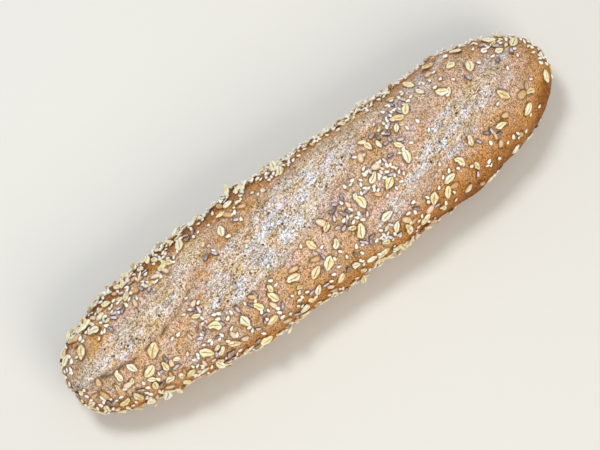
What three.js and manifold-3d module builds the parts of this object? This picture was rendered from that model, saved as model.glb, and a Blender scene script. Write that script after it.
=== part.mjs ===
// A multigrain baguette: one short, plump loaf with three long slashes across its crown,
// and rolled oat flakes baked into the crust. Millimetres, +Z up, the loaf lies along X.
// The origin is under the middle of the loaf, on the surface that it rests on.

import * as THREE from "three";
import { mergeVertices } from "three/addons/utils/BufferGeometryUtils.js";
import Module from "manifold-3d";

// The bare crust, without its flakes.
const LENGTH = 332;
const WIDTH = 81;
const HEIGHT = 57;
const GIRTH_HEIGHT = 23; // of the widest line, above the table
const PRESS = 1.6; // how far the dough's round underside would reach below the table it lies on
const UNROLL = 34; // millimetres of crust for each radian round the section

// Section shapes are superellipses: 2 is an ellipse, more is squarer.
const CROWN_SQUARENESS = 2.15;
const FOOT_SQUARENESS = 2.9;
const FOOT_SIDE_SQUARENESS = 2.5;

// The two ends differ, as hand-shaped dough does: how far the full width reaches and how roundly it
// ends are superellipse powers, narrowing is the width lost on the way, and bend is how far the end
// lies off towards +Y.
const LEFT_END = { reach: 3.8, roundness: 3.05, narrowing: 0.105, bend: -0.5 };
const RIGHT_END = { reach: 4.7, roundness: 2.4, narrowing: 0.065, bend: 5.5 };
const CROWN_FALL = 0.95; // the crown's height follows the taper to this power
const FOOT_FALL = 0.85;

// The slashes, in crust coordinates: x along the loaf, v round it from the ridge towards +Y. bow is how
// far the middle lies off the straight line, gape its greatest half width, peak where that is, from 0
// to 1, point how sharply it closes, and crease the depth to which the crumb tore away from its lower lip.
const SLASHES = [
  { from: [-166, -4], to: [-54, 24], bow: -7.4, gape: 10, peak: 0.4, point: 0.5, crease: 2.8 },
  { from: [-85, -11], to: [82, 34], bow: -1, gape: 15, peak: 0.37, point: 0.9, crease: 1.4 },
  { from: [34, -18], to: [141, 6], bow: 0, gape: 9.5, peak: 0.6, point: 0.9, crease: 1.2 },
];
const CREASE_WIDTH = 1.7;
const LIP_RISE = 0.7; // the crust curls up beside the crease
const LIP_WIDTH = 4.5;
const SWELL = 1.9; // how far the opened crumb bulges
const EAR_RISE = 0.7; // the low ridge along the upper edge
const EAR_WIDTH = 2.2;

// Long, low waves that make the loaf uneven: height, waves along X, turns round it, phase.
const WAVES = [
  { height: 0.8, along: 0.041, round: 2, phase: 0.6 },
  { height: 0.55, along: 0.083, round: -3, phase: 2.1 },
  { height: 0.4, along: 0.137, round: 1, phase: 4.2 },
  { height: 0.3, along: 0.211, round: -4, phase: 1.3 },
];

// The mesh: its long lines lean as the slashes do, and lie closer together where those are.
const RINGS = 60;
const LEAN = 0.2 / UNROLL;
const FINE_BAND = { from: -1.15, to: 1.25, steps: 24 };
const COARSE_STEPS = 18;
const END_CROWDING = 0.25; // how much the rings close up towards the two ends

// Rolled oats.
const FLAKES = 178;
const FLAKE_SEED = 20;
const FLAKE_SIDES = 6;
const FLAKE_LENGTH = { from: 5.8, to: 9.2 };
const FLAKE_SLENDER = { from: 0.58, to: 0.74 }; // width for length
const FLAKE_RISE = 0.95; // of its rim above the crust
const FLAKE_ROOT = 6; // of the point that its sides run down to, inside the loaf
const FLAKE_GROOVE = 0.35; // depth of the hollow in its upper face
const FLAKE_TILT = 0.16; // radians, at most
const FLAKE_SPACING = 7.6; // between middles, at least
const SLASH_MARGIN = 2; // kept clear beside a slash
const TABLE_MARGIN = 5; // kept clear above the table
const MOST_TRIES = 40000;

const clamp = (value, low, high) => Math.min(high, Math.max(low, value));
const mix = (from, to, share) => from + (to - from) * share;
const smooth = (value) => {
  const t = clamp(value, 0, 1);
  return t * t * (3 - 2 * t);
};
const power = (value, exponent) => Math.sign(value) * Math.abs(value) ** exponent;
const bell = (value, width) => Math.exp(-((value / width) ** 2));

// The same draws each run.
function seededRandom(seed) {
  let state = seed;
  return () => {
    state = (Math.imul(state, 1664525) + 1013904223) >>> 0;
    return state / 4294967296;
  };
}

// x for u from -1 to 1, closer together towards the ends.
function station(u) {
  return (LENGTH / 2) * ((1 + END_CROWDING) * u - END_CROWDING * u ** 5);
}

// The share of its full width and height that the loaf has at x.
function taper(x) {
  const end = x < 0 ? LEFT_END : RIGHT_END;
  const reach = Math.min(1, Math.abs((2 * x) / LENGTH));
  return (1 - reach ** end.reach) ** (1 / end.roundness) * (1 - end.narrowing * reach);
}

// How far the loaf's middle line lies off the X axis.
function middleLine(x) {
  const end = x < 0 ? LEFT_END : RIGHT_END;
  return end.bend * ((2 * x) / LENGTH) ** 2;
}

// The smooth loaf before its relief: angle 0 is the ridge, and a quarter turn is the widest line at +Y.
function smoothPoint(x, angle) {
  const share = taper(x);
  const side = Math.sin(angle);
  const rise = Math.cos(angle);
  const half = (WIDTH / 2) * share;
  const middle = middleLine(x);
  if (rise >= 0) {
    const crown = (HEIGHT - GIRTH_HEIGHT) * share ** CROWN_FALL;
    return new THREE.Vector3(
      x,
      middle + half * power(side, 2 / CROWN_SQUARENESS),
      GIRTH_HEIGHT + crown * rise ** (2 / CROWN_SQUARENESS),
    );
  }
  const foot = (GIRTH_HEIGHT + PRESS) * share ** FOOT_FALL;
  return new THREE.Vector3(
    x,
    middle + half * power(side, 2 / FOOT_SIDE_SQUARENESS),
    GIRTH_HEIGHT + foot * power(rise, 2 / FOOT_SQUARENESS),
  );
}

// Where a place on the crust lies in a slash: share runs along it from 0 to 1, across is the distance
// from its middle line in millimetres, and gape is its half width there.
function inSlash(slash, x, v) {
  const [x0, v0] = slash.from;
  const [x1, v1] = slash.to;
  const length = Math.hypot(x1 - x0, v1 - v0);
  const [dx, dv] = [(x1 - x0) / length, (v1 - v0) / length];
  const share = ((x - x0) * dx + (v - v0) * dv) / length;
  const bowed = slash.bow * 4 * share * (1 - share);
  const across = (v - v0) * dx - (x - x0) * dv - bowed;
  if (share <= 0 || share >= 1) return { share, across, gape: 0 };
  const skewed = share ** (Math.log(0.5) / Math.log(slash.peak));
  return { share, across, gape: slash.gape * (4 * skewed * (1 - skewed)) ** slash.point };
}

// The relief of one slash: a crease along its lower edge, the swollen crumb, and a low ear above.
function slashRelief(slash, x, v) {
  const { across, gape } = inSlash(slash, x, v);
  if (gape === 0) return 0;
  const strength = smooth(gape / (0.5 * slash.gape));
  const lower = across + gape;
  const upper = across - gape;
  const swell = SWELL * smooth(lower / 5) * smooth(-upper / 9) * strength;
  const crease = -slash.crease * strength * bell(lower, CREASE_WIDTH);
  const lip = lower < 0 ? LIP_RISE * strength * Math.exp(lower / LIP_WIDTH) : 0;
  const ear = EAR_RISE * strength * bell(upper, EAR_WIDTH);
  return swell + crease + lip + ear;
}

// How far the crust stands off the smooth loaf.
function relief(x, angle) {
  const v = UNROLL * angle;
  const waves = WAVES.reduce(
    (sum, w) => sum + w.height * Math.sin(w.along * x + w.round * angle + w.phase),
    0,
  );
  return waves + SLASHES.reduce((sum, slash) => sum + slashRelief(slash, x, v), 0);
}

// The outward direction of the smooth loaf.
function outward(x, angle) {
  const step = 0.02;
  const near = clamp(x, -LENGTH / 2 + 1, LENGTH / 2 - 1);
  const along = smoothPoint(near + step, angle).sub(smoothPoint(near - step, angle));
  const round = smoothPoint(near, angle + step).sub(smoothPoint(near, angle - step));
  return along.cross(round).normalize();
}

// A point of the crust. What would lie below the table is pressed flat on it.
function crustPoint(x, angle) {
  const wrapped = Math.atan2(Math.sin(angle), Math.cos(angle));
  const point = smoothPoint(x, wrapped);
  const ends = smooth(8 * (1 - Math.abs((2 * x) / LENGTH)));
  const height = relief(x, wrapped) * ends * smooth(point.z / 12);
  point.addScaledVector(outward(x, wrapped), height);
  point.z = Math.max(0, point.z);
  return point;
}

// The angles of the mesh's long lines at mid-length, once round.
function lineAngles() {
  const angles = [];
  const { from, to, steps } = FINE_BAND;
  for (let i = 0; i < steps; i += 1) angles.push(mix(from, to, i / steps));
  const rest = 2 * Math.PI - (to - from);
  for (let i = 0; i < COARSE_STEPS; i += 1) angles.push(to + (rest * i) / COARSE_STEPS);
  return angles;
}

// A closed geometry from its corners and triangles.
function closedGeometry(corners, triangles) {
  const geometry = new THREE.BufferGeometry();
  geometry.setAttribute("position", new THREE.Float32BufferAttribute(corners.flatMap((c) => c.toArray()), 3));
  geometry.setIndex(triangles.flat());
  return geometry;
}

// The crust as rings of points between a single point at each end.
function crustGeometry() {
  const angles = lineAngles();
  const count = angles.length;
  const corners = [new THREE.Vector3(-LENGTH / 2, LEFT_END.bend, GIRTH_HEIGHT)];
  for (let ring = 1; ring < RINGS; ring += 1) {
    const x = station((2 * ring) / RINGS - 1);
    for (const angle of angles) corners.push(crustPoint(x, angle + LEAN * x));
  }
  corners.push(new THREE.Vector3(LENGTH / 2, RIGHT_END.bend, GIRTH_HEIGHT));

  const triangles = [];
  const corner = (ring, line) => 1 + (ring - 1) * count + (line % count);
  for (let line = 0; line < count; line += 1) {
    triangles.push([0, corner(1, line), corner(1, line + 1)]);
    for (let ring = 1; ring < RINGS - 1; ring += 1) {
      const [a, b] = [corner(ring, line), corner(ring, line + 1)];
      const [c, d] = [corner(ring + 1, line), corner(ring + 1, line + 1)];
      triangles.push([a, d, b], [a, c, d]);
    }
    triangles.push([corners.length - 1, corner(RINGS - 1, line + 1), corner(RINGS - 1, line)]);
  }
  return closedGeometry(corners, triangles);
}

// How thickly oats lie at a place, from 0 to 1: thickest on the upper flank and the left half, thin on
// the right of the lower flank and under the loaf, and none in the slashes.
function oatDensity(x, v) {
  const bare = SLASHES.some((slash) => {
    const { across, gape } = inSlash(slash, x, v);
    return gape > 0 && Math.abs(across) < gape + SLASH_MARGIN;
  });
  if (bare) return 0;
  const right = smooth((x - 10) / 80);
  const crown = mix(0.7, 0.42, right);
  const side = v > 0 ? mix(1, 0.75, right) : mix(0.85, 0.3, right);
  const flank = smooth((Math.abs(v) - 20) / 18);
  const under = 1 - smooth((Math.abs(v) - 58) / 14);
  return under * mix(crown, side, flank);
}

// The share of crust around a place, so that draws come out even over the whole surface.
function crustArea(u, angle) {
  const step = 0.004;
  const low = Math.max(-1, u - step);
  const high = Math.min(1, u + step);
  const along = smoothPoint(station(high), angle).sub(smoothPoint(station(low), angle));
  const round = smoothPoint(station(u), angle + step).sub(smoothPoint(station(u), angle - step));
  return along.cross(round).length() / ((high - low) * 2 * step);
}

// Places for the oats, the largest first, none too near another.
function oatPlaces() {
  const random = seededRandom(FLAKE_SEED);
  const fullArea = crustArea(0, Math.PI / 2);
  const placed = [];
  for (let tries = 0; tries < MOST_TRIES && placed.length < FLAKES; tries += 1) {
    const u = 2 * random() - 1;
    const angle = Math.PI * (2 * random() - 1);
    const kept = random();
    const turn = Math.PI * random();
    const lean = [FLAKE_TILT * (2 * random() - 1), FLAKE_TILT * (2 * random() - 1)];
    const slender = mix(FLAKE_SLENDER.from, FLAKE_SLENDER.to, random());
    const x = station(u);
    if (kept > oatDensity(x, UNROLL * angle) * (crustArea(u, angle) / fullArea)) continue;
    const point = crustPoint(x, angle);
    if (point.z < TABLE_MARGIN) continue;
    if (placed.some((other) => other.point.distanceTo(point) < FLAKE_SPACING)) continue;
    const length = mix(FLAKE_LENGTH.to, FLAKE_LENGTH.from, placed.length / FLAKES);
    placed.push({ x, angle, point, turn, lean, length, width: length * slender });
  }
  return placed;
}

// One oat flake: an oval rim, hollow above, with sides that run down to a point deep in the loaf.
function flakeGeometry(length, width) {
  const corners = [];
  for (let i = 0; i < FLAKE_SIDES; i += 1) {
    const a = (2 * Math.PI * i) / FLAKE_SIDES;
    corners.push(new THREE.Vector3((length / 2) * Math.cos(a), (width / 2) * Math.sin(a), FLAKE_RISE));
  }
  const hollow = corners.push(new THREE.Vector3(0, 0, FLAKE_RISE - FLAKE_GROOVE)) - 1;
  const root = corners.push(new THREE.Vector3(0, 0, -FLAKE_ROOT)) - 1;
  const triangles = [];
  for (let i = 0; i < FLAKE_SIDES; i += 1) {
    const next = (i + 1) % FLAKE_SIDES;
    triangles.push([i, next, hollow], [next, i, root]);
  }
  return closedGeometry(corners, triangles);
}

// A flake laid on the crust.
function laidFlake(place) {
  const normal = outward(place.x, place.angle);
  const upright = new THREE.Quaternion().setFromUnitVectors(new THREE.Vector3(0, 0, 1), normal);
  const turned = new THREE.Quaternion().setFromEuler(new THREE.Euler(place.lean[0], place.lean[1], place.turn));
  const matrix = new THREE.Matrix4().compose(place.point, upright.multiply(turned), new THREE.Vector3(1, 1, 1));
  return flakeGeometry(place.length, place.width).applyMatrix4(matrix);
}

const wasm = await Module();
wasm.setup();

function solidFrom(geometry) {
  const merged = mergeVertices(geometry, 1e-4);
  return new wasm.Manifold(
    new wasm.Mesh({
      numProp: 3,
      vertProperties: merged.attributes.position.array,
      triVerts: new Uint32Array(merged.index.array),
    }),
  );
}

function geometryFrom(solid) {
  const { vertProperties, triVerts } = solid.getMesh();
  const geometry = new THREE.BufferGeometry();
  geometry.setAttribute("position", new THREE.BufferAttribute(vertProperties, 3));
  geometry.setIndex(new THREE.BufferAttribute(triVerts, 1));
  return geometry;
}

// The crust with its flakes as one solid. Only its outer skin is kept, so no sealed hollow is left
// under a flake and no loose scrap beside one.
function fusedLoaf() {
  const flakes = oatPlaces().map((place) => solidFrom(laidFlake(place)));
  const joined = flakes.reduce((loaf, flake) => loaf.add(flake), solidFrom(crustGeometry()));
  const skins = joined.decompose().sort((a, b) => b.volume() - a.volume());
  return geometryFrom(skins[0]);
}

const crustMaterial = new THREE.MeshStandardMaterial({ color: 0xb07a45, roughness: 0.85, metalness: 0 });
const loaf = new THREE.Mesh(fusedLoaf(), crustMaterial);
loaf.name = "loaf";

const baguette = new THREE.Group();
baguette.name = "multigrain_baguette";
baguette.add(loaf);

export default baguette;
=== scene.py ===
# The looks of a multigrain baguette: a baked, floury crust with three long slashes, strewn with rolled
# oats, sesame, linseed and tan kernels. Lengths are millimetres until a mesh is made.
import math

import bpy
import numpy as np
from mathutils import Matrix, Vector
from mathutils.kdtree import KDTree


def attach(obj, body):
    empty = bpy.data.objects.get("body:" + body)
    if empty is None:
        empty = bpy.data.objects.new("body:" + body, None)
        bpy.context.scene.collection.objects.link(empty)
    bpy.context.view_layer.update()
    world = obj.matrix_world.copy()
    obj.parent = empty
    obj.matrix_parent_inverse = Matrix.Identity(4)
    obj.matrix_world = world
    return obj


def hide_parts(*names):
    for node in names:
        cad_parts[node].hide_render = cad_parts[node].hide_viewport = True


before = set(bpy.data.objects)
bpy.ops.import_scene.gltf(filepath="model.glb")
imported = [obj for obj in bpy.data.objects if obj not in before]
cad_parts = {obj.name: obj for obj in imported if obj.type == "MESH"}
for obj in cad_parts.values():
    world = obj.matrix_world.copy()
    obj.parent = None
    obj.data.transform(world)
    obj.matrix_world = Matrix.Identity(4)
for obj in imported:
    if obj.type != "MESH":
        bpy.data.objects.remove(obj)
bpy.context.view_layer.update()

MM = 0.001


def spot(x, v, half_long, half_high, **marks):
    """A place on the crust, its half length and half height, and numbers that hold there."""
    return {"at": (x, v), "size": (half_long, half_high), **marks}


# The bare crust, as in the CAD model.
LENGTH = 332.0
WIDTH = 81.0
HEIGHT = 57.0
GIRTH_HEIGHT = 23.0  # of the widest line, above the table
PRESS = 1.6  # how far the round underside would reach below the table
UNROLL = 34.0  # millimetres of crust for each radian round the section
CROWN_SQUARENESS = 2.15
FOOT_SQUARENESS = 2.9
FOOT_SIDE_SQUARENESS = 2.5
LEFT_END = dict(reach=3.8, roundness=3.05, narrowing=0.105, bend=-0.5)
RIGHT_END = dict(reach=4.7, roundness=2.4, narrowing=0.065, bend=5.5)
CROWN_FALL = 0.95  # the power of the taper by which the crown comes down towards the ends
FOOT_FALL = 0.85
END_CROWDING = 0.25  # how much closer together the rings lie at the ends
RELIEF_HEIGHT = 12.0  # above the table, over which the relief fades in
RELIEF_END = 0.125  # of the half length, over which it fades out

# The slashes, in crust coordinates: x along the loaf, v round it from the ridge towards +Y. bow is how far
# a slash's middle line bulges towards +Y, gape its greatest half width, peak how far along it that lies,
# point how pointed the ends are, and crease how deep its lower edge is cut. flour is how floury it is, core
# how far off its middle line the flour lies thickest and floury how wide, both in half widths, line how
# much shade is painted dark where the crumb has torn along its lower edge, and ear how brown its upper edge
# is.
SLASHES = [
    dict(start=(-166, -4), end=(-54, 24), bow=-7.4, gape=10, peak=0.4, point=0.5,
         crease=2.8, flour=0.82, core=-0.3, floury=0.5, line=1.0, ear=0.25),
    dict(start=(-85, -11), end=(82, 34), bow=-1, gape=15, peak=0.37, point=0.9,
         crease=1.4, flour=1.3, core=-0.28, floury=0.45, line=0.4, ear=1.0),
    dict(start=(34, -18), end=(141, 6), bow=0, gape=9.5, peak=0.6, point=0.9,
         crease=1.2, flour=1.4, core=-0.15, floury=0.9, line=0.0, ear=0.1),
]
SLASH_LEAN = 0.27  # of the slashes to the loaf's length, in crust coordinates
FULLY_OPEN = 0.5  # of its greatest half width, from which a slash has its full relief
CREASE_WIDTH = 1.7
SPLIT_WIDTH = 1.1  # of the crease as the torn crumb leaves it open
SPLIT_DEPTH = 0.5  # of the crease's depth
LIP_RISE = 0.7  # of the crust just below the crease
LIP_WIDTH = 4.5
SWELL = 1.9  # of the crumb between the edges
SWELL_RISE = 5.0  # the distance over which it rises from the crease
SWELL_FALL = 9.0  # and falls off to the upper edge
EAR_RISE = 0.7  # of the upper edge
EAR_WIDTH = 2.2
WAVES = [
    dict(height=0.8, along=0.041, round=2, phase=0.6),
    dict(height=0.55, along=0.083, round=-3, phase=2.1),
    dict(height=0.4, along=0.137, round=1, phase=4.2),
    dict(height=0.3, along=0.211, round=-4, phase=1.3),
]
KNOB = spot(-156, -7, 5, 4, rise=1.8)  # where the first slash's crumb bulged out
POCKET = spot(-147, -9.5, 4, 1.6, depth=1.6)  # the hollow beside it, with its shade painted dark
DUSTED = [  # floury patches outside the slashes
    spot(34, -22, 17, 5, flour=1.2),
    spot(-156, -7, 6, 5, flour=0.7),
    spot(94, 28, 30, 9, flour=0.7),
    spot(84, -16, 30, 6, flour=0.5),
    spot(-64, -9, 16, 8, flour=0.7),
    spot(-92, -17, 28, 9, flour=0.4),
    spot(132, 7, 17, 8, flour=1.05),
]

# The crust's mesh, finer over the crown and sides than under the loaf.
RINGS = 398
TOP_LINES = 196
UNDER_LINES = 54
TOP_REACH = 1.85  # radians to each side of the ridge
SHADE_REACH = 0.8  # how far round a topping the crust is painted darker, as shade

# The toppings. count is the most that are laid, slender width for length, tilt in radians, lift how far a
# topping's middle lies off the crust, spacing the least distance between two middles, and base how thickly
# a kind lies outside the clusters. The large oats are those that the CAD model draws too.
LARGE_OATS = dict(seed=20, count=178, length=(5.8, 9.2), slender=(0.58, 0.74), tilt=0.16,
                  lift=(0.0, 0.0), spacing=7.6)
SMALL_OATS = dict(seed=31, count=52, length=(3.6, 6.0), slender=(0.5, 0.8), tilt=0.35,
                  lift=(0.0, 0.2), spacing=3.6, base=0.3)
EDGE_OATS = dict(seed=35, count=72, length=(5.8, 9.0), slender=(0.5, 0.7), tilt=0.7,
                 lift=(0.4, 1.8), spacing=4.4)
KERNELS = dict(seed=42, count=120, length=(4.4, 7.6), slender=(0.4, 0.74), tilt=0.15,
               lift=(0.0, 0.35), spacing=4.0, base=0.16)
EDGE_KERNELS = dict(seed=46, count=44, length=(3.6, 5.6), slender=(0.5, 0.75), tilt=0.7,
                    lift=(0.5, 1.6), spacing=3.2)
LINSEED = dict(seed=53, count=150, length=(4.2, 5.2), slender=(0.44, 0.53), tilt=0.25,
               lift=(0.15, 0.5), spacing=2.5, base=0.07)
SESAME = dict(seed=64, count=1300, length=(2.5, 3.4), slender=(0.56, 0.7), tilt=0.4,
              lift=(0.2, 0.6), spacing=1.75, base=0.34)
HEAPED_SESAME = dict(seed=75, count=200, length=(2.5, 3.4), slender=(0.52, 0.66), tilt=1.1,
                     lift=(0.8, 2.0), spacing=1.7)
OAT_THICKNESS = 0.95
KERNEL_THICKNESS = 2.2
LINSEED_THICKNESS = 1.3
SESAME_THICKNESS = 1.2
OAT_SHAPES = 8

# How far the toppings laid later keep from the middle of one, as a share of its length.
LARGE_OAT_REACH = 0.38  # for the small oats
OAT_REACH = 0.4  # for all that come after
KERNEL_REACH = 0.25
LINSEED_REACH = 0.2
EDGE_OAT_REACH = 0.3
OWN_REACH = 0.25  # of its own spacing, which a kind adds to that
SLASH_MARGIN = 2.0  # that the large oats keep from a slash
TABLE_MARGIN = 5.0  # that all keep from the table

# The numbers that each try at laying a topping draws, and how they are drawn.
DRAWS_A_TRY = 7
ALONG, ROUND, STAYS, TURNED, LEAN_LONG, LEAN_WIDE, SLENDER = range(DRAWS_A_TRY)
TRIES = 30000
WHOLE = 2 ** 32
DRAW_FACTOR = 1664525
DRAW_STEP = 1013904223

# Where the toppings lie thickest, and how thickly each kind lies there.
CLUSTERS = [
    spot(34, -5, 14, 6, sesame=1.0, linseed=0.3, kernel=0.1),
    spot(13, -12, 8, 6, sesame=0.6, linseed=1.0, kernel=0.3),
    spot(52, 11, 8, 5, sesame=0.4, linseed=1.0, kernel=0.9),
    spot(40, 3, 5, 4, sesame=0.2, linseed=0.8, kernel=0.5),
    spot(67, 20, 10, 5, sesame=0.9, linseed=0.5, kernel=0.1),
    spot(30, -33, 12, 4, sesame=0.8, linseed=0.2, kernel=0.4),
    spot(12, -27, 6, 5, sesame=0.3, linseed=0.9, kernel=0.1),
    spot(-134, 34, 26, 12, sesame=0.85, linseed=0.1, kernel=0.4),
    spot(-82, -12, 13, 9, sesame=1.0, linseed=0.25, kernel=0.0),
    spot(-60, -20, 8, 4, sesame=0.2, linseed=0.4, kernel=0.3),
    spot(-92, -28, 12, 7, sesame=0.3, linseed=0.35, kernel=0.3),
    spot(-118, -30, 14, 7, sesame=0.3, linseed=0.35, kernel=0.4),
    spot(-148, -20, 12, 8, sesame=0.2, linseed=0.1, kernel=0.7),
    spot(-128, 17, 16, 5, sesame=0.3, linseed=0.4, kernel=0.6),
    spot(-98, 25, 24, 8, sesame=0.85, linseed=0.2, kernel=0.6),
    spot(-2, 31, 14, 5, sesame=1.0, linseed=0.1, kernel=0.2),
    spot(24, 44, 50, 12, sesame=1.0, linseed=0.1, kernel=0.3),
    spot(104, -24, 9, 5, sesame=0.2, linseed=0.3, kernel=0.4),
    spot(-154, -38, 9, 14, sesame=0.5, linseed=0.1, kernel=0.6),
    spot(147, 25, 11, 9, sesame=1.0, linseed=0.1, kernel=0.3),
    spot(160, 12, 6, 16, sesame=0.6, linseed=0.0, kernel=0.4),
    spot(-162, 10, 5, 24, sesame=0.7, linseed=0.1, kernel=0.6),
]
CLUSTER_CORE = 1.8  # how much of a cluster's middle is at its full thickness
# Where flakes stand proud along the loaf's edges, and where they lie in a heap by its left end.
UPPER_EDGE = dict(start=-160, end=160, at=49, width=11)
LOWER_EDGE = dict(start=-158, end=70, at=-56, width=6)
EDGE_FADE = 20.0  # the distance over which they thin out towards both ends of an edge
LEFT_HEAP = spot(-142, 30, 19, 10)
BARE = spot(80, -51, 85, 16)  # the lower right flank, almost without toppings

# How the noise's lattice is scrambled, placed and scaled.
CELL_FACTORS = (374761393, 668265263, 1274126177)
SEED_FACTOR = 97531
SCRAMBLES = (1274126177, 2246822519)
AXIS_SEED_STEP = 101
NOISE_OFFSET = 1000.0
NOISE_GAIN = 1.6

# The camera, at the photo's angle, and the floor.
CAMERA_AZIMUTH = -35.16
CAMERA_ELEVATION = 76.0
CAMERA_DISTANCE = 700.0
MM_PER_PIXEL = 0.57
PICTURE_WIDTH = 600
PICTURE_HEIGHT = 450
SENSOR_WIDTH = 36.0
AIM_HEIGHT = 26.0  # the point above the origin that the photo shows at this pixel
AIM_PIXEL = (316.8, 219.8)
FLOOR_HALF = 2000.0


def mix(low, high, share):
    return low + (high - low) * share


def smooth(value):
    """Rises gently from 0 to 1 as value does, and stays there."""
    t = np.clip(value, 0, 1)
    return t * t * (3 - 2 * t)


def power(value, exponent):
    return np.sign(value) * np.abs(value) ** exponent


def bell(value, width):
    """1 at 0, falling off to both sides over about a width."""
    return np.exp(-((value / width) ** 2))


def wrap(angle):
    return np.arctan2(np.sin(angle), np.cos(angle))


# Noise

def lattice(cell, seed):
    """A random number from 0 to 1 for each whole-numbered cell."""
    h = seed * SEED_FACTOR + sum(cell[..., axis] * CELL_FACTORS[axis] for axis in range(3))
    h = h.astype(np.uint32)
    h = (h ^ (h >> np.uint32(13))) * np.uint32(SCRAMBLES[0])
    h = (h ^ (h >> np.uint32(15))) * np.uint32(SCRAMBLES[1])
    return (h ^ (h >> np.uint32(16))) / float(WHOLE)


def noise(points, size, seed=0):
    """Smooth noise from -1 to 1, with features about as large as size."""
    places = np.asarray(points, float) / size + NOISE_OFFSET
    cell = np.floor(places).astype(np.int64)
    within = places - cell
    fade = within * within * within * (within * (within * 6 - 15) + 10)
    result = np.zeros(places.shape[:-1])
    for corner in np.ndindex(2, 2, 2):
        offset = np.array(corner)
        weight = np.prod(np.where(offset, fade, 1 - fade), axis=-1)
        here = cell + offset
        slopes = [lattice(here, seed + AXIS_SEED_STEP * axis) * 2 - 1 for axis in range(3)]
        result += weight * np.sum(np.stack(slopes, axis=-1) * (within - offset), axis=-1)
    return np.clip(result * NOISE_GAIN, -1, 1)


# The loaf's surface

def by_end(x, key):
    return np.where(x < 0, LEFT_END[key], RIGHT_END[key])


def station(u):
    """x for u from -1 to 1, closer together towards the ends."""
    return LENGTH / 2 * ((1 + END_CROWDING) * u - END_CROWDING * u ** 5)


def taper(x):
    """The share of its full width and height that the loaf has at x."""
    reach = np.minimum(1, np.abs(2 * x / LENGTH))
    closed = (1 - reach ** by_end(x, "reach")) ** (1 / by_end(x, "roundness"))
    return closed * (1 - by_end(x, "narrowing") * reach)


def smooth_point(x, angle):
    """The loaf before its relief: angle 0 is the ridge, and a quarter turn is the widest line at +Y."""
    share = taper(x)
    side = np.sin(angle)
    rise = np.cos(angle)
    half = WIDTH / 2 * share
    crown = (HEIGHT - GIRTH_HEIGHT) * share ** CROWN_FALL
    foot = (GIRTH_HEIGHT + PRESS) * share ** FOOT_FALL
    squareness = np.where(rise >= 0, CROWN_SQUARENESS, FOOT_SIDE_SQUARENESS)
    middle = by_end(x, "bend") * (2 * x / LENGTH) ** 2
    y = middle + half * power(side, 2 / squareness)
    above = crown * np.abs(rise) ** (2 / CROWN_SQUARENESS)
    below = -foot * np.abs(rise) ** (2 / FOOT_SQUARENESS)
    z = GIRTH_HEIGHT + np.where(rise >= 0, above, below)
    return np.stack(np.broadcast_arrays(x, y, z), axis=-1)


def in_slash(slash, x, v):
    """How far along a slash a place lies, how far off its middle, and the slash's half width there."""
    (x0, v0), (x1, v1) = slash["start"], slash["end"]
    length = math.hypot(x1 - x0, v1 - v0)
    dx, dv = (x1 - x0) / length, (v1 - v0) / length
    share = ((x - x0) * dx + (v - v0) * dv) / length
    across = (v - v0) * dx - (x - x0) * dv - slash["bow"] * 4 * share * (1 - share)
    inside = (share > 0) & (share < 1)
    skewed = np.clip(share, 0, 1) ** (math.log(0.5) / math.log(slash["peak"]))
    gape = slash["gape"] * (4 * skewed * (1 - skewed)) ** slash["point"]
    return share, across, np.where(inside, gape, 0)


def opened(slash, gape):
    """How far a slash of this half width has opened, from 0 at its ends to 1."""
    return smooth(gape / (FULLY_OPEN * slash["gape"]))


def slash_relief(slash, x, v, depth=1.0, width=CREASE_WIDTH):
    """A crease along the slash's lower edge, the swollen crumb, and a low ear above."""
    _, across, gape = in_slash(slash, x, v)
    lower = across + gape
    upper = across - gape
    swell = SWELL * smooth(lower / SWELL_RISE) * smooth(-upper / SWELL_FALL)
    crease = -slash["crease"] * depth * bell(lower, width)
    lip = LIP_RISE * np.where(lower < 0, np.exp(np.minimum(lower, 0) / LIP_WIDTH), 0)
    ear = EAR_RISE * bell(upper, EAR_WIDTH)
    return opened(slash, gape) * (swell + crease + lip + ear)


def relief(x, angle):
    """How far the crust stands off the smooth loaf."""
    waves = sum(w["height"] * np.sin(w["along"] * x + w["round"] * angle + w["phase"]) for w in WAVES)
    return waves + sum(slash_relief(slash, x, UNROLL * angle) for slash in SLASHES)


def outward(x, angle):
    """The outward direction of the smooth loaf."""
    step = 0.02
    near = np.clip(x, -LENGTH / 2 + 1, LENGTH / 2 - 1)
    along = smooth_point(near + step, angle) - smooth_point(near - step, angle)
    around = smooth_point(near, angle + step) - smooth_point(near, angle - step)
    normal = np.cross(along, around)
    return normal / np.linalg.norm(normal, axis=-1, keepdims=True)


def crust_point(x, angle, detail=0):
    """A point of the crust. What would lie below the table is pressed flat on it."""
    wrapped = wrap(angle)
    point = smooth_point(x, wrapped)
    ends = smooth((1 - np.abs(2 * x / LENGTH)) / RELIEF_END)
    height = (relief(x, wrapped) * ends + detail) * smooth(point[..., 2] / RELIEF_HEIGHT)
    point = point + outward(x, wrapped) * height[..., None]
    point[..., 2] = np.maximum(0, point[..., 2])
    return point


# Meshes

def mesh_object(name, corners, faces, values=None):
    """A mesh object from corners in millimetres, with one number a corner for each named value."""
    mesh = bpy.data.meshes.new(name)
    mesh.from_pydata((np.asarray(corners) * MM).tolist(), [], [list(face) for face in faces])
    mesh.polygons.foreach_set("use_smooth", np.full(len(mesh.polygons), True))
    for key, numbers in (values or {}).items():
        attribute = mesh.attributes.new(key, "FLOAT", "POINT")
        attribute.data.foreach_set("value", np.asarray(numbers, np.float32).ravel())
    mesh.update()
    piece = bpy.data.objects.new(name, mesh)
    bpy.context.scene.collection.objects.link(piece)
    return piece


# The crust

def streaks(x, v, stretch):
    """Places for noise that runs along the slashes."""
    along = x + SLASH_LEAN * v
    across = v - SLASH_LEAN * x
    return np.stack([along / stretch, across, np.zeros_like(x)], axis=-1)


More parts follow.
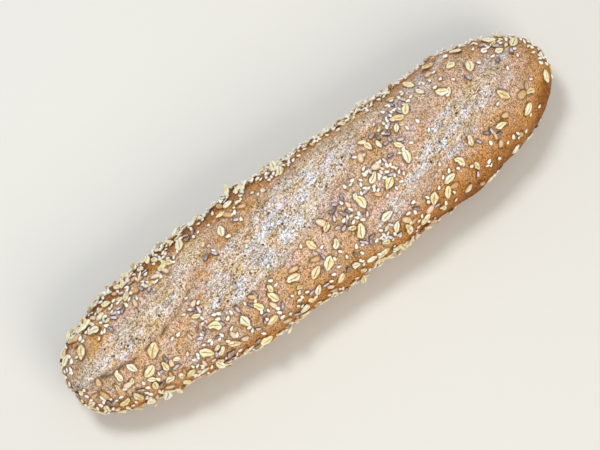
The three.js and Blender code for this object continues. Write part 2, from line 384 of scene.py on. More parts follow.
def near_spot(patch, x, v, lean=0.0):
    """How near a place lies to the middle of a spot, from 0 to 1. A lean slants the spot."""
    (spot_x, spot_v), (half_long, half_high) = patch["at"], patch["size"]
    return bell((x - spot_x) / half_long, 1) * bell((v - spot_v - lean * (x - spot_x)) / half_high, 1)


def slash_looks(x, v):
    """How far each place lies in a slash, how floury it is, and how near the ear and the torn line, where
    shade is painted dark.
    """
    inside, flour, line, ear = np.zeros((4, *np.shape(x)))
    for slash in SLASHES:
        share, across, gape = in_slash(slash, x, v)
        here = smooth((gape - np.abs(across) + 2) / 7)
        closing = smooth(share / 0.08) * smooth((1 - share) / 0.65)
        core = bell(across / np.maximum(gape, 1) - slash["core"], slash["floury"])
        torn = smooth((share - 0.08) / 0.08) * smooth((0.8 - share) / 0.2)
        rim = opened(slash, gape) * bell(across - gape - 1, 4) * smooth((0.8 - share) / 0.3)
        inside = np.maximum(inside, here)
        flour = np.maximum(flour, slash["flour"] * here * closing * mix(0.42, 1, core))
        line = np.maximum(line, slash["line"] * torn * bell(across + gape, 0.8))
        ear = np.maximum(ear, slash["ear"] * rim)
    return inside, flour, line, ear


def crust_detail(x, v, places, inside):
    """The crust's small relief: blisters, grain, wrinkles on the flanks, and the torn crumb."""
    blisters = 0.3 * noise(places, 7, 1) + 0.17 * noise(places, 3.4, 2)
    grain = 0.13 * noise(places, 1.9, 10)
    along = places * np.array([1 / 7, 1, 1])
    wrinkles = 0.2 * smooth((np.abs(v) - 24) / 14) * noise(along, 2.0, 11)
    torn = 0.34 * noise(streaks(x, v, 4), 3.0, 3) + 0.18 * noise(streaks(x, v, 2.5), 1.6, 4)
    pits = -0.45 * smooth((noise(places, 2.1, 5) - 0.42) / 0.2)
    knob = KNOB["rise"] * near_spot(KNOB, x, v)
    pocket = -POCKET["depth"] * near_spot(POCKET, x, v)
    return grain + mix(blisters + wrinkles, torn + pits + 0.5 * blisters, inside) + knob + pocket


def ragged_place(x, v, places):
    """A place moved a little, so that what follows the slashes gets a ragged edge."""
    ragged_x = x + 1.8 * noise(places, 10, 6) + 0.8 * noise(places, 4, 14)
    ragged_v = v + 1.5 * noise(places, 10, 7) + 0.8 * noise(places, 4, 15)
    return ragged_x, ragged_v


def torn_open(places):
    """How far the crumb has torn open along the slashes' lower edges, from 0 to 1."""
    return smooth(0.58 + 1.5 * noise(places, 6, 17))


def detailed_point(x, angle):
    """A point of the crust with its small relief and its creases as ragged as the crumb leaves them."""
    places = smooth_point(x, angle)
    v = UNROLL * angle
    ragged_x, ragged_v = ragged_place(x, v, places)
    inside = slash_looks(ragged_x, ragged_v)[0]
    depth = SPLIT_DEPTH * torn_open(places)
    ragged = sum(
        slash_relief(slash, ragged_x, ragged_v, depth, SPLIT_WIDTH) - slash_relief(slash, x, v)
        for slash in SLASHES
    )
    return crust_point(x, angle, crust_detail(x, v, places, inside) + ragged)


def bake_and_shade_map(x, v, places):
    """How brown the crust is baked, from 0 to 1: most on the flanks, ends and lower right; painted shade
    darkens the upper edge.
    """
    flank = smooth((np.abs(v) - 24) / 30) + 0.4 * smooth((-v - 38) / 16)
    # The upper edge, most at its left end, is darker partly from browning and partly as painted shade
    # between the flakes that stand there.
    upper = mix(0.36, 0.14, smooth((x + 30) / 90)) + 0.34 * smooth((-x - 95) / 30)
    upper = upper * smooth((v - 20) / 14)
    tip = smooth((np.abs(x) - 128) / 34) * np.where(x > 0, 0.17, 0.04)
    right_low = smooth((x + 15) / 115) * smooth((-v - 8) / 28)
    under = smooth((np.abs(v) - 62) / 36)
    patches = 0.10 * noise(places, 24, 12) + 0.07 * noise(places, 9, 13)
    bake_and_shade = np.minimum(0.265 + 0.2 * flank + upper + tip + 0.24 * right_low, 0.78)
    return mix(bake_and_shade, 0.66, under) + patches


def flour_map(x, v, places, inside, slash_flour):
    """How floury the crust is: in streaks in the slashes, and in patches and a light dusting outside."""
    streaky = noise(streaks(x, v, 3.0), 5.0, 8) + 0.7 * noise(streaks(x, v, 2.4), 2.4, 9)
    dusting = mix(0.12, 0.2, smooth((v + 20) / 24)) * smooth((46 - np.abs(v)) / 28)
    dusting = dusting * smooth((160 - x) / 50) * np.clip(0.6 + 1.2 * noise(places, 13, 16), 0, 2)
    for patch in DUSTED:
        dusting += patch["flour"] * near_spot(patch, x, v, SLASH_LEAN) * (0.7 + streaky)
    return slash_flour * np.clip(0.5 + 1.05 * streaky, 0.04, 1.5) + dusting * (1 - inside)


def line_angles():
    """Angles once round the loaf, closer together over its top and sides than under it."""
    top = np.linspace(-TOP_REACH, TOP_REACH, TOP_LINES, endpoint=False)
    under = np.linspace(TOP_REACH, 2 * math.pi - TOP_REACH, UNDER_LINES, endpoint=False)
    return np.concatenate([top, under])


def ring_faces(rings, lines):
    """Faces of rings of corners, closed by one corner at each end, which come last."""
    ring, line = np.meshgrid(np.arange(rings - 1), np.arange(lines), indexing="ij")
    here = ring * lines + line
    beside = ring * lines + (line + 1) % lines
    quads = np.stack([here, here + lines, beside + lines, beside], axis=-1).reshape(-1, 4)
    first, last = rings * lines, rings * lines + 1
    end = (rings - 1) * lines
    caps = [[first, i, (i + 1) % lines] for i in range(lines)]
    caps += [[last, end + (i + 1) % lines, end + i] for i in range(lines)]
    return quads.tolist() + caps


def crust_mesh(toppings):
    """The crust, with browning, flour and painted shade: dark in torn creases and pocket, a little round
    each topping.
    """
    u = np.linspace(-1, 1, RINGS + 2)[1:-1]
    x, angle = np.meshgrid(station(u), wrap(line_angles()), indexing="ij")
    places = smooth_point(x, angle)
    v = UNROLL * angle
    inside, slash_flour, line, ear = slash_looks(*ragged_place(x, v, places))
    stripes = ear * smooth(0.5 + 2.2 * noise(streaks(x, v, 3.5), 3.0, 18))
    flour = flour_map(x, v, places, inside, slash_flour) * (1 - 0.85 * stripes)
    bake_and_shade = bake_and_shade_map(x, v, places) + 0.19 * stripes
    # Shade painted dark along the torn crease and in the pocket.
    crease_shade = np.clip(line * torn_open(places) + 0.9 * near_spot(POCKET, x, v), 0, 1)

    grid = detailed_point(x, angle).reshape(-1, 3)
    shade = topping_shade(grid, toppings)
    left_tip = [-LENGTH / 2, LEFT_END["bend"], GIRTH_HEIGHT]
    right_tip = [LENGTH / 2, RIGHT_END["bend"], GIRTH_HEIGHT]
    corners = np.concatenate([grid, [left_tip, right_tip]])
    # dark is painted shade in the torn creases, in the pocket and round each topping, where the flour is
    # thinned too.
    values = {
        "flour": np.append(flour.ravel() * (1 - 0.5 * shade), [0, 0]),
        "bake_and_shade": np.append(bake_and_shade, [0.6, 0.6]),
        "slashed": np.append(inside.ravel(), [0, 0]),
        "dark": np.append(np.maximum(0.75 * crease_shade.ravel(), 0.6 * shade), [0, 0]),
    }
    return mesh_object("crust", corners, ring_faces(*x.shape), values)


def topping_shade(points, toppings):
    """How near each point of the crust lies to a topping's rim, from 0 to 1, for the shade painted round
    it.
    """
    tree = KDTree(len(points))
    for index, point in enumerate(points):
        tree.insert(point, index)
    tree.balance()
    shade = np.zeros(len(points))
    for laid in toppings:
        for i, centre in enumerate(laid["centres"]):
            half_long, half_wide = laid["lengths"][i] / 2, laid["widths"][i] / 2
            found = [index for _, index, _ in tree.find_range(centre, half_long + SHADE_REACH)]
            local = (points[found] - centre) @ laid["matrices"][i]
            off = np.hypot(local[:, 0] / half_long, local[:, 1] / half_wide)
            shade[found] = np.maximum(shade[found], smooth(1 - (off - 1) * half_wide / SHADE_REACH))
    return shade


# Where the toppings lie

def draws(seed):
    """Rows of the same random numbers each run, as the CAD model draws them."""
    state = seed
    numbers = np.empty(TRIES * DRAWS_A_TRY)
    for i in range(len(numbers)):
        state = (state * DRAW_FACTOR + DRAW_STEP) % WHOLE
        numbers[i] = state / WHOLE
    return numbers.reshape(TRIES, DRAWS_A_TRY)


def crust_area(u, angle):
    """The share of crust around a place, so that draws come out even over the whole surface."""
    step = 0.004
    low, high = np.maximum(-1, u - step), np.minimum(1, u + step)
    along = smooth_point(station(high), angle) - smooth_point(station(low), angle)
    around = smooth_point(station(u), angle + step) - smooth_point(station(u), angle - step)
    return np.linalg.norm(np.cross(along, around), axis=-1) / ((high - low) * 2 * step)


def off_slashes(x, v, margin):
    """Whether a place lies clear of all slashes by a margin."""
    cut = np.zeros(np.shape(x), bool)
    for slash in SLASHES:
        _, across, gape = in_slash(slash, x, v)
        cut |= (gape > 0) & (np.abs(across) < gape + margin)
    return ~cut


def oat_density(x, v):
    """How thickly large oats lie at a place, as in the CAD model."""
    right = smooth((x - 10) / 80)
    crown = mix(0.7, 0.42, right)
    side = np.where(v > 0, mix(1, 0.75, right), mix(0.85, 0.3, right))
    flank = smooth((np.abs(v) - 20) / 18)
    above = 1 - smooth((np.abs(v) - 58) / 14)
    return above * mix(crown, side, flank) * off_slashes(x, v, SLASH_MARGIN)


def edge_density(edge, x, v):
    """How thickly toppings stand along an edge."""
    along = smooth((x - edge["start"]) / EDGE_FADE) * smooth((edge["end"] - x) / EDGE_FADE)
    return along * bell(v - edge["at"], edge["width"])


def upper_density(x, v):
    """Sesame heaps up along the middle of the upper edge, and thinly beyond."""
    middle = mix(0.3, 1, smooth((x + 60) / 50)) * mix(1, 0.5, smooth((x - 60) / 40))
    return edge_density(UPPER_EDGE, x, v + 4) * middle


def proud_density(x, v):
    """Flakes stand proud along both edges, thinly along the lower one, and most at the left."""
    upper = edge_density(UPPER_EDGE, x, v) * mix(1, 0.35, smooth((x - 10) / 60))
    lower = 0.25 * edge_density(LOWER_EDGE, x, v)
    return np.maximum(np.maximum(upper, lower), near_spot(LEFT_HEAP, x, v))


def cluster_density(topping, base):
    """A density that is thick in the clusters and else a base, thinner on the crown and at the right."""
    def density(x, v):
        thick = np.zeros(np.shape(x))
        for cluster in CLUSTERS:
            near = np.minimum(1, CLUSTER_CORE * near_spot(cluster, x, v))
            thick = np.maximum(thick, cluster[topping] * near)
        thin = base * mix(0.4, 1, smooth((np.abs(v) - 18) / 18)) * (1 - near_spot(BARE, x, v))
        thin = thin * mix(1, 0.4, smooth((x - 50) / 40))
        above = 1 - smooth((np.abs(v) - 60) / 14)
        clear = np.where(off_slashes(x, v, -0.5), 1, 0.02)
        return np.clip(np.maximum(thin, thick), 0, 1) * above * clear
    return density


def scatter(kind, density, taken):
    """Places drawn by density, clear of one another and of those taken: draws, x, angle and point."""
    rows = draws(kind["seed"])
    u = 2 * rows[:, ALONG] - 1
    angle = math.pi * (2 * rows[:, ROUND] - 1)
    x = station(u)
    share = density(x, UNROLL * angle) * crust_area(u, angle) / crust_area(0.0, math.pi / 2)
    points = crust_point(x, angle)
    held = np.array([point for point, _ in taken]).reshape(-1, 3)
    kept_off = np.array([reach for _, reach in taken]) + OWN_REACH * kind["spacing"]
    chosen = []
    for i in np.flatnonzero((rows[:, STAYS] <= share) & (points[:, 2] >= TABLE_MARGIN)):
        if len(chosen) == kind["count"]:
            break
        if len(held) and (np.linalg.norm(held - points[i], axis=1) < kept_off).any():
            continue
        if chosen and (np.linalg.norm(points[chosen] - points[i], axis=1) < kind["spacing"]).any():
            continue
        chosen.append(i)
    return rows[chosen], x[chosen], angle[chosen], detailed_point(x[chosen], angle[chosen])


# How a topping is laid on the crust

def about(angle, axis):
    """Rotations by each angle about one axis."""
    matrices = np.tile(np.eye(3), (len(angle), 1, 1))
    a, b = [(1, 2), (2, 0), (0, 1)][axis]
    matrices[:, a, a] = matrices[:, b, b] = np.cos(angle)
    matrices[:, b, a] = np.sin(angle)
    matrices[:, a, b] = -np.sin(angle)
    return matrices


def upright(normals):
    """The shortest turns that bring +Z to each normal."""
    skew = np.zeros((len(normals), 3, 3))
    skew[:, :2, 2] = normals[:, :2]
    skew[:, 2, :2] = -normals[:, :2]
    return np.eye(3) + skew + skew @ skew / (1 + normals[:, 2])[:, None, None]


def lay(kind, places, lengths=None):
    """The place, turn, size and tint of each topping of a kind."""
    rows, x, angle, points = places
    dice = np.random.default_rng(kind["seed"])
    size, lift, tint = dice.random((3, len(x)))
    if lengths is None:
        lengths = mix(*kind["length"], size)
    normals = outward(x, angle)
    lean_long, lean_wide = [kind["tilt"] * (2 * rows[:, column] - 1) for column in (LEAN_LONG, LEAN_WIDE)]
    turns = about(lean_long, 0) @ about(lean_wide, 1) @ about(math.pi * rows[:, TURNED], 2)
    return {
        "centres": points + normals * mix(*kind["lift"], lift)[:, None],
        "matrices": upright(normals) @ turns,
        "lengths": lengths,
        "widths": lengths * mix(*kind["slender"], rows[:, SLENDER]),
        "tints": tint,
    }


def lay_large_oats():
    """The large oats, the longest first, as the CAD model draws them."""
    shortest, longest = LARGE_OATS["length"]
    lengths = mix(longest, shortest, np.arange(LARGE_OATS["count"]) / LARGE_OATS["count"])
    return lay(LARGE_OATS, scatter(LARGE_OATS, oat_density, []), lengths)


def lay_clustered(kind, topping, taken):
    """Toppings laid thickest in the clusters, clear of those taken."""
    return lay(kind, scatter(kind, cluster_density(topping, kind["base"]), taken))


def together(*parts):
    return {key: np.concatenate([part[key] for part in parts]) for key in parts[0]}


def reaches(laid, share):
    """Each topping's middle, and the distance from it that other toppings keep."""
    return [(centre, share * length) for centre, length in zip(laid["centres"], laid["lengths"])]


def topping_mesh(name, shapes, laid, thickness):
    """One mesh of many toppings, each a shape sized, turned and laid on the crust."""
    corners, faces, values = [], [], {}
    start = 0
    for i, centre in enumerate(laid["centres"]):
        shape, shape_faces, marks = shapes[i % len(shapes)]
        sized = shape * np.array([laid["lengths"][i], laid["widths"][i], thickness])
        corners.append(sized @ laid["matrices"][i].T + centre)
        faces.append(shape_faces + start)
        start += len(shape)
        for key, numbers in {**marks, "tint": np.full(len(shape), laid["tints"][i])}.items():
            values.setdefault(key, []).append(numbers)
    joined = {key: np.concatenate(numbers) for key, numbers in values.items()}
    return mesh_object(name, np.concatenate(corners), np.concatenate(faces), joined)


# The toppings' shapes, about one long, one wide and one thick

def grid_edge(rows, columns):
    """The numbers of a grid's corners once round its edge, anticlockwise."""
    index = np.arange(rows * columns).reshape(rows, columns)
    return np.concatenate([index[:, 0], index[-1, 1:], index[-2::-1, -1], index[0, -2:0:-1]])


def flake_faces(rows, columns):
    """Faces of a flake: a grid of corners, its edge once more below, and the middle of its underside."""
    row, column = np.meshgrid(np.arange(rows - 1), np.arange(columns - 1), indexing="ij")
    first = (row * columns + column).ravel()
    faces = [[i, i + columns, i + columns + 1] for i in first]
    faces += [[i, i + columns + 1, i + 1] for i in first]
    edge = grid_edge(rows, columns)
    base = rows * columns
    for i, corner in enumerate(edge):
        j = (i + 1) % len(edge)
        faces.append([corner, base + i, base + j])
        faces.append([corner, base + j, edge[j]])
        faces.append([base + j, base + i, base + len(edge)])
    return np.array(faces)


def oat_half_width(variant, a, side):
    """Half the width of an oat at a, from -1 to 1 along it: uneven, and on some clipped or broken off."""
    uneven = 1 + 0.07 * np.sin(2.9 * a + 1.9 * variant + side)
    uneven += 0.06 * np.sin(7.1 * a + 2.7 * variant - 2 * side)
    skewed = a + 0.16 * math.sin(1.3 * variant + 1) * (1 - a * a)
    fullness = mix(1.7, 2.3, variant % 3 / 2)
    bluntness = mix(0.6, 0.8, variant % 4 / 3)
    half = 0.43 * (1 - np.abs(skewed) ** fullness) ** bluntness * uneven
    if variant % 4 == 1:
        half = np.where(side > 0, np.minimum(half, 0.2 + 0.35 * np.abs(a - 0.3)), half)
    if variant % 4 == 3:
        half = half * (1 - 0.35 * smooth((a - 0.35) * 3) * (side < 0))
    return half


def oat_height(variant, a, b, groove, strand):
    """The height of an oat's upper face, a along it and b across: lobed, grooved, cupped and wavy."""
    lobes = 0.5 * np.sin(math.pi * np.abs(b)) * (1 - a ** 4)
    rim = 0.34 * b ** 6 + 0.22 * a ** 8
    cup = 0.3 * math.sin(2.7 * variant + 0.4) * (b * b + 0.7 * a * a - 0.5)
    twist = 0.24 * np.sin(2.2 * a + 1.7 * variant) * np.sign(b) * b * b
    ruffle = 0.16 * np.sin(6 * a + 2 * variant) * b ** 4
    return 0.88 + lobes - 0.5 * groove - 0.12 * strand - rim + cup + (twist + ruffle)


def oat_shape(variant):
    """A rolled oat: a thin, uneven, pointed oval with a crease along its middle and a wavy rim."""
    across = np.array([-1, -0.86, -0.64, -0.45, -0.26, -0.1, 0, 0.1, 0.26, 0.45, 0.64, 0.86, 1])
    along = np.sin(np.linspace(-1, 1, 15) * math.pi / 2) * 0.985
    a, b = np.meshgrid(along, across, indexing="ij")
    groove = bell(b, 0.11) * smooth((1 - np.abs(a + 0.12 * math.sin(1.9 * variant))) * 2.4)
    strand = bell(np.abs(b) - 0.45, 0.08) * (1 - a ** 2)
    bow = 0.07 * math.sin(2.3 * variant)
    wander = 0.04 * np.sin(2.5 * a + 2.1 * variant)
    wide = b * oat_half_width(variant, a, np.sign(b)) + bow * (1 - a * a) + wander * (1 - b * b)
    top = np.stack([0.5 * a, wide, oat_height(variant, a, b, groove, strand)], axis=-1).reshape(-1, 3)

    edge = grid_edge(*a.shape)
    lower = top[edge] * np.array([0.97, 0.97, 1]) - np.array([0, 0, 0.45])
    corners = np.concatenate([top, lower, [[0, bow, -0.3]]])
    below = np.zeros(len(edge) + 1)
    # The crease and the rim are marked for the material's painted shade.
    crease = np.clip(groove + 0.4 * strand, 0, 1).ravel()
    rim_shade = np.clip(b ** 6 + a ** 10, 0, 1).ravel()
    marks = {"crease": np.append(crease, below), "rim": np.append(rim_shade, below)}
    return corners, flake_faces(*a.shape), marks


def disc_faces(rings, sides):
    """Faces of a closed form: one corner, rings of corners and one corner."""
    faces = [[0, 1 + i, 1 + (i + 1) % sides] for i in range(sides)]
    for ring in range(rings - 1):
        a, b = 1 + ring * sides, 1 + (ring + 1) * sides
        for i in range(sides):
            j = (i + 1) % sides
            faces.append([a + i, b + i, b + j])
            faces.append([a + i, b + j, a + j])
    last = 1 + (rings - 1) * sides
    faces += [[last + sides, last + (i + 1) % sides, last + i] for i in range(sides)]
    return np.array(faces)


def seed_shape(sides, rings, sharpness):
    """A seed, rounded at one end and more pointed at the other, with its rim marked for painted shade."""
    turn = np.arange(sides) / sides * 2 * math.pi
    corners = [[0.5, 0, 0]]
    rim = [1]
    for i in range(1, rings + 1):
        share = i / (rings + 1)
        along = 0.5 * math.cos(math.pi * share)
        narrowing = (1 - sharpness * (along + 0.5)) / (1 - 0.4 * sharpness)
        radius = 0.5 * math.sin(math.pi * share) * narrowing
        for a in turn:
            corners.append([along, radius * math.cos(a), radius * math.sin(a)])
            # The sides and ends are marked for the painted shade at the seed's rim.
            rim.append(max(abs(2 * along), abs(math.cos(a))) ** 3)
    corners.append([-0.5, 0, 0])
    rim.append(1)
    return np.array(corners), disc_faces(rings, sides), {"rim": np.array(rim)}


# Nodes of a material

def link_or_set(tree, socket, value):
    """Gives a socket another node's output, or a number or colour."""
    if isinstance(value, bpy.types.NodeSocket):
        tree.links.new(value, socket)
    elif isinstance(value, tuple) and len(value) == 3 and socket.type == "RGBA":
        socket.default_value = (*value, 1.0)
    else:
        socket.default_value = value


def add(tree, kind, settings=None, **inputs):
    """A node with its settings and inputs, where an input is a value or another node's output."""
    node = tree.nodes.new("ShaderNode" + kind)
    for key, value in (settings or {}).items():
        setattr(node, key, value)
    for key, value in inputs.items():
        link_or_set(tree, node.inputs[key.replace("_", " ")], value)
    return node


def blank_material(name):
    """A new material, its nodes, its shader, and the place on the piece."""
    material = bpy.data.materials.new(name)
    material.use_nodes = True
    tree = material.node_tree
    shader = tree.nodes["Principled BSDF"]
    place = add(tree, "TexCoord").outputs["Object"]
    return material, tree, shader, place


def value_of(tree, name):
    return add(tree, "Attribute", {"attribute_name": name}).outputs["Fac"]


def speckle(tree, place, size, detail=2.0):
    """Noise from 0 to 1 whose features are about size millimetres."""
    node = add(tree, "TexNoise", Vector=place, Scale=1 / (size * MM), Detail=detail, Roughness=0.6)
    return node.outputs["Fac"]


def flecks(tree, place, size):
    """Cells of about size millimetres: a random number for each, and the distance to its middle."""
    node = add(tree, "TexVoronoi", Vector=place, Scale=1 / (size * MM), Randomness=1.0)
    return node.outputs["Color"], node.outputs["Distance"]


def maths(tree, operation, a, b=0.0, clamp=False):
    node = add(tree, "Math", {"operation": operation, "use_clamp": clamp})
    link_or_set(tree, node.inputs[0], a)
    link_or_set(tree, node.inputs[1], b)
    return node.outputs[0]


def product(tree, a, b, clamp=False):
    return maths(tree, "MULTIPLY", a, b, clamp)


def total(tree, *values):
    result = values[0]
    for value in values[1:]:
        result = maths(tree, "ADD", result, value)
    return result


def spread(tree, value, low, high, to_low=0.0, to_high=1.0):
    """value's range from low to high, spread over another and held there."""
    node = add(tree, "MapRange", {"clamp": True}, Value=value, From_Min=low, From_Max=high,
               To_Min=to_low, To_Max=to_high)
    return node.outputs[0]


def swing(tree, value, low, reach):
    """value's range from low to as far above 0.5, spread from -reach to reach."""
    return spread(tree, value, low, 1 - low, -reach, reach)


def blend(tree, share, first, second, way="MIX"):
    """Two colours blended. A mix node has its share at 0 and its colours at 6 and 7."""
    node = add(tree, "Mix", {"data_type": "RGBA", "blend_type": way})
    for index, value in ((0, share), (6, first), (7, second)):
        link_or_set(tree, node.inputs[index], value)
    return node.outputs[2]


def ramp(tree, value, colours, stops=None):
    """Colours along a value from 0 to 1, evenly spaced if there are no stops."""
    if stops is None:
        stops = np.linspace(0, 1, len(colours)).tolist()
    node = add(tree, "ValToRGB", Fac=value)
    while len(node.color_ramp.elements) < len(stops):
        node.color_ramp.elements.new(0.5)
    for element, position, colour in zip(node.color_ramp.elements, stops, colours):
        element.position = position
        element.color = (*colour, 1.0)
    return node.outputs["Color"]


def finish(tree, shader, colour, roughness, specular):
    """Gives a shader its colour, roughness and gloss."""
    link_or_set(tree, shader.inputs["Base Color"], colour)
    link_or_set(tree, shader.inputs["Roughness"], roughness)
    link_or_set(tree, shader.inputs["Specular IOR Level"], specular)


def bump(tree, shader, height, distance):
    node = add(tree, "Bump", Height=height, Distance=distance * MM, Strength=1.0)
    tree.links.new(node.outputs["Normal"], shader.inputs["Normal"])


# The crust's material

def bake_and_shade_colour(tree, place, bake_and_shade, slashed):
    """Pinkish where the crust is pale, golden where it is browner, and half crumb in the slashes."""
    patchy = swing(tree, speckle(tree, place, 8), 0.3, 0.09)
    baked = maths(tree, "ADD", bake_and_shade, patchy, clamp=True)
    pinks = [(0.84, 0.64, 0.53), (0.685, 0.455, 0.322), (0.52, 0.27, 0.155), (0.32, 0.14, 0.065),
             (0.13, 0.05, 0.018)]
    golds = [(0.90, 0.59, 0.28), (0.765, 0.43, 0.14), (0.60, 0.265, 0.066), (0.36, 0.133, 0.025),
             (0.12, 0.038, 0.005)]
    creams = [(0.92, 0.84, 0.68), (0.77, 0.65, 0.47), (0.53, 0.40, 0.24), (0.19, 0.12, 0.055)]
    crumb = ramp(tree, baked, creams, (0.0, 0.25, 0.5, 1.0))
    warmth = maths(tree, "ADD", bake_and_shade, swing(tree, speckle(tree, place, 14), 0.3, 0.1))
    warmth = spread(tree, warmth, 0.16, 0.46)
    crust = blend(tree, warmth, ramp(tree, baked, pinks), ramp(tree, baked, golds))
    return blend(tree, product(tree, slashed, 0.5), crust, crumb)


def drifting_tint(tree, place):
    """A tone to multiply a colour by, which drifts from lilac to yellow."""
    drift = spread(tree, speckle(tree, place, 8), 0.3, 0.7)
    return blend(tree, drift, (1.015, 0.965, 1.13), (0.985, 1.015, 0.83))


def flour_cover(tree, lengthwise, fine):
    """How much flour hides the crust, from 0 to 1, in streaks that run along the slashes."""
    streaky = spread(tree, speckle(tree, lengthwise, 2.4), 0.3, 0.7, 1.5, 0.3)
    uneven = maths(tree, "ADD", streaky, swing(tree, fine, 0.3, -0.25))
    return product(tree, value_of(tree, "flour"), uneven, clamp=True)


def sandy_tone(tree, place, slashed, fine, fibres, bran, meal):
    """A tone to multiply a colour by, which lightens and darkens it like sand."""
    dust, _ = flecks(tree, place, 0.55)
    sand = total(
        tree,
        swing(tree, fine, 0.25, 0.36),
        swing(tree, bran, 0.1, 0.13),
        swing(tree, meal, 0.1, 0.3),
        swing(tree, dust, 0.1, 0.85),
    )
    grain = total(
        tree,
        swing(tree, speckle(tree, place, 3.2, 3), 0.25, 0.16),
        product(tree, sand, spread(tree, slashed, 0, 1, 0.76, 0.84)),
        product(tree, slashed, swing(tree, fibres, 0.3, 0.38)),
    )
    return blend(tree, spread(tree, grain, -0.8, 0.8), (1.64, 1.72, 1.88), (0.24, 0.18, 0.07))


def pores(tree, place, slashed):
    """Small round holes, from 0 to 1, most of them in the slashes, whose shade is painted dark."""
    chance, distance = flecks(tree, place, 3.0)
    hole = spread(tree, distance, 0.18, 0.26, 1.0, 0.0)
    chosen = product(tree, hole, spread(tree, chance, 0.6, 0.66))
    return product(tree, chosen, spread(tree, slashed, 0.2, 0.9, 0.3, 1.0))


def crust_material():
    """The baked crust, flour over it, and sandy grain in both, with painted shade: dark lines, pores and
    rings round toppings.
    """
    material, tree, shader, place = blank_material("baked_crust")
    turned = add(tree, "Mapping", Vector=place, Rotation=(0, 0, -math.atan(SLASH_LEAN)))
    stretched = add(tree, "Mapping", Vector=turned.outputs[0], Scale=(0.25, 1, 1))
    lengthwise = stretched.outputs[0]
    fibres = speckle(tree, lengthwise, 1.2)
    fine = speckle(tree, place, 0.75)
    bran, _ = flecks(tree, place, 1.1)
    meal, _ = flecks(tree, place, 0.75)
    slashed = value_of(tree, "slashed")
    floury = flour_cover(tree, lengthwise, fine)
    pore = pores(tree, place, slashed)

    colour = bake_and_shade_colour(tree, place, value_of(tree, "bake_and_shade"), slashed)
    colour = blend(tree, 1.0, colour, drifting_tint(tree, place), way="MULTIPLY")
    colour = blend(tree, product(tree, floury, 0.9), colour, (0.75, 0.755, 0.815))
    tone = sandy_tone(tree, place, slashed, fine, fibres, bran, meal)
    colour = blend(tree, 1.0, colour, tone, way="MULTIPLY")
    # Painted shade: darker in the torn creases, in the pocket and round each topping.
    colour = blend(tree, value_of(tree, "dark"), colour, (0.11, 0.055, 0.025))
    # Painted shade: the pores are darkened almost to black.
    colour = blend(tree, product(tree, pore, 0.9), colour, (0.06, 0.035, 0.02))
    finish(tree, shader, colour, spread(tree, floury, 0, 1, 0.65, 0.95), 0.15)

    height = total(
        tree,
        fine,
        product(tree, bran, 0.35),
        product(tree, meal, 0.25),
        product(tree, fibres, slashed),
        product(tree, pore, -0.8),
    )
    bump(tree, shader, height, 0.75)
    return material


# The toppings' materials

def oat_material():
    """Cream to golden flakes, with painted shade a little browner at the rim and along the crease."""
    material, tree, shader, place = blank_material("rolled_oat")
    cloud = speckle(tree, place, 2.2, 3)
    fine = speckle(tree, place, 0.5)
    golds = [(0.68, 0.43, 0.14), (0.88, 0.68, 0.26), (0.98, 0.88, 0.46), (0.99, 0.98, 0.86)]
    colour = ramp(tree, value_of(tree, "tint"), golds, (0.0, 0.25, 0.55, 1.0))
    pale = spread(tree, cloud, 0.42, 0.56, 0.0, 0.9)
    colour = blend(tree, pale, colour, (1.0, 0.99, 0.87))
    stained = spread(tree, speckle(tree, place, 3.0), 0.48, 0.62, 0.0, 0.5)
    colour = blend(tree, stained, colour, (0.82, 0.60, 0.20))
    # Painted shade: darker along the crease and its strands, and browner at the rim.
    crease = spread(tree, value_of(tree, "crease"), 0.25, 0.8, 0.0, 0.9)
    colour = blend(tree, crease, colour, (0.27, 0.18, 0.05))
    rim = spread(tree, value_of(tree, "rim"), 0.5, 1.0, 0.0, 0.4)
    colour = blend(tree, rim, colour, (0.46, 0.32, 0.12))
    finish(tree, shader, colour, 0.42, 0.5)
    bump(tree, shader, maths(tree, "ADD", cloud, product(tree, fine, 0.5)), 0.35)
    return material


def seed_material(name, colours, roughness, specular, mottle, rim_shade_colour):
    """A smooth seed whose colour varies from one to the next, with painted shade of another colour at its
    rim.
    """
    material, tree, shader, place = blank_material(name)
    cloud = speckle(tree, place, 0.9)
    mottled = swing(tree, cloud, 0.3, mottle)
    shade = maths(tree, "ADD", value_of(tree, "tint"), mottled, clamp=True)
    # Painted shade: the seed's sides and ends take the rim's colour.
    rim = spread(tree, value_of(tree, "rim"), 0.15, 0.85, 0.0, 0.95)
    finish(tree, shader, blend(tree, rim, ramp(tree, shade, colours), rim_shade_colour), roughness, specular)
    bump(tree, shader, cloud, 0.12)
    return material


def kernel_material():
    tans = [(0.62, 0.36, 0.14), (0.82, 0.58, 0.36), (0.92, 0.76, 0.60)]
    return seed_material("tan_kernel", tans, roughness=0.35, specular=0.6, mottle=0.3,
                         rim_shade_colour=(0.38, 0.20, 0.07))


def linseed_material():
    greys = [(0.26, 0.18, 0.19), (0.52, 0.42, 0.46), (0.82, 0.72, 0.78)]
    return seed_material("linseed_hull", greys, roughness=0.25, specular=0.7, mottle=0.4,
                         rim_shade_colour=(0.045, 0.025, 0.03))


def sesame_material():
    whites = [(0.92, 0.86, 0.72), (0.99, 0.97, 0.94), (1.0, 0.99, 0.98)]
    return seed_material("sesame_hull", whites, roughness=0.4, specular=0.5, mottle=0.2,
                         rim_shade_colour=(0.93, 0.87, 0.73))


# The scene round the loaf

def direction(azimuth, elevation):
    """The way to a camera or lamp, from degrees: azimuth 0 is at -Y, and 90 at +X."""
    a, e = math.radians(azimuth), math.radians(elevation)
    return Vector((math.sin(a) * math.cos(e), -math.cos(a) * math.cos(e), math.sin(e)))


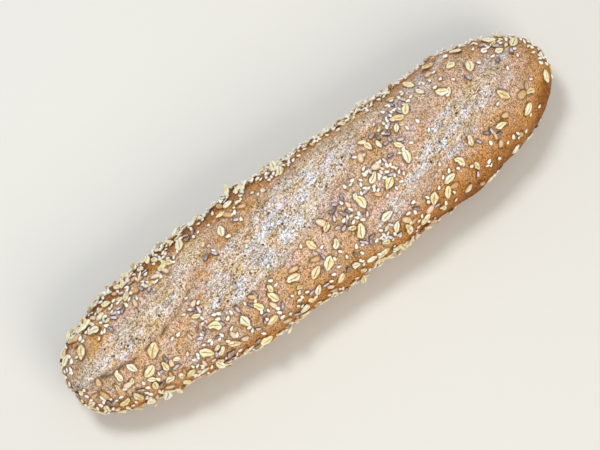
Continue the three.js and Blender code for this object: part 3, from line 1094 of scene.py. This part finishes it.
def facing_back(name, data, location, away):
    """A camera or lamp at a location in metres, looking back along the way to it."""
    shown = bpy.data.objects.new(name, data)
    shown.location = location
    shown.rotation_mode = "QUATERNION"
    shown.rotation_quaternion = (-away).to_track_quat("-Z", "Y")
    bpy.context.scene.collection.objects.link(shown)
    return shown


def camera():
    back = direction(CAMERA_AZIMUTH, CAMERA_ELEVATION)
    right = Vector((0, 0, 1)).cross(back).normalized()
    up = back.cross(right)
    across = (PICTURE_WIDTH / 2 - AIM_PIXEL[0]) * MM_PER_PIXEL
    rise = (AIM_PIXEL[1] - PICTURE_HEIGHT / 2) * MM_PER_PIXEL
    aim = Vector((0, 0, AIM_HEIGHT)) + right * across + up * rise
    data = bpy.data.cameras.new("camera")
    data.sensor_width = SENSOR_WIDTH
    data.lens = SENSOR_WIDTH * CAMERA_DISTANCE / (PICTURE_WIDTH * MM_PER_PIXEL)
    bpy.context.scene.camera = facing_back("camera", data, (aim + back * CAMERA_DISTANCE) * MM, back)


def floor():
    near, far = -FLOOR_HALF, FLOOR_HALF
    corners = [[near, near, 0], [far, near, 0], [far, far, 0], [near, far, 0]]
    plane = mesh_object("floor", corners, [[0, 1, 2, 3]])
    material, tree, shader, _ = blank_material("floor")
    finish(tree, shader, (0.78, 0.77, 0.75), 0.9, 0.5)
    plane.data.materials.append(material)


def lamp(name, azimuth, elevation, distance, size, watts, colour):
    """A soft lamp over the loaf, with lengths in metres."""
    data = bpy.data.lights.new(name, "AREA")
    data.size = size
    data.energy = watts
    data.color = colour
    away = direction(azimuth, elevation)
    facing_back(name, data, away * distance, away)


def daylight(colour, strength):
    world = bpy.data.worlds.new("studio")
    world.use_nodes = True
    background = world.node_tree.nodes["Background"]
    background.inputs["Color"].default_value = (*colour, 1.0)
    background.inputs["Strength"].default_value = strength
    bpy.context.scene.world = world


def dress(piece, material):
    """Gives a piece its material and makes it part of the loaf."""
    piece.data.materials.append(material)
    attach(piece, "root")
    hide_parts("loaf")


camera()
floor()
daylight(colour=(0.97, 0.98, 1.0), strength=0.42)
lamp("key", azimuth=200, elevation=66, distance=1.1, size=0.24, watts=5.6, colour=(0.96, 1.0, 0.985))
lamp("fill", azimuth=5, elevation=42, distance=1.2, size=0.7, watts=6.8, colour=(1.0, 0.905, 0.73))
bpy.context.scene.view_settings.view_transform = "Standard"

oats = lay_large_oats()
oats = together(oats, lay_clustered(SMALL_OATS, "kernel", reaches(oats, LARGE_OAT_REACH)))
taken = reaches(oats, OAT_REACH)
kernels = lay_clustered(KERNELS, "kernel", taken)
taken += reaches(kernels, KERNEL_REACH)
linseed = lay_clustered(LINSEED, "linseed", taken)
taken += reaches(linseed, LINSEED_REACH)
sesame = lay_clustered(SESAME, "sesame", taken)
heaped = lay(HEAPED_SESAME, scatter(HEAPED_SESAME, upper_density, []))
edge_oats = lay(EDGE_OATS, scatter(EDGE_OATS, proud_density, []))
edge_kernels = lay(EDGE_KERNELS, scatter(EDGE_KERNELS, proud_density, reaches(edge_oats, EDGE_OAT_REACH)))

all_oats = together(oats, edge_oats)
all_kernels = together(kernels, edge_kernels)
all_sesame = together(sesame, heaped)
oat_shapes = [oat_shape(variant) for variant in range(OAT_SHAPES)]
kernel_shapes = [seed_shape(14, 7, 0.25), seed_shape(14, 7, 0.5)]
linseed_shapes = [seed_shape(14, 8, 0.45)]
sesame_shapes = [seed_shape(10, 6, 0.55), seed_shape(10, 6, 0.4)]

dress(crust_mesh([oats, kernels, linseed, sesame]), crust_material())
dress(topping_mesh("oats", oat_shapes, all_oats, OAT_THICKNESS), oat_material())
dress(topping_mesh("kernels", kernel_shapes, all_kernels, KERNEL_THICKNESS), kernel_material())
dress(topping_mesh("linseed", linseed_shapes, linseed, LINSEED_THICKNESS), linseed_material())
dress(topping_mesh("sesame", sesame_shapes, all_sesame, SESAME_THICKNESS), sesame_material())
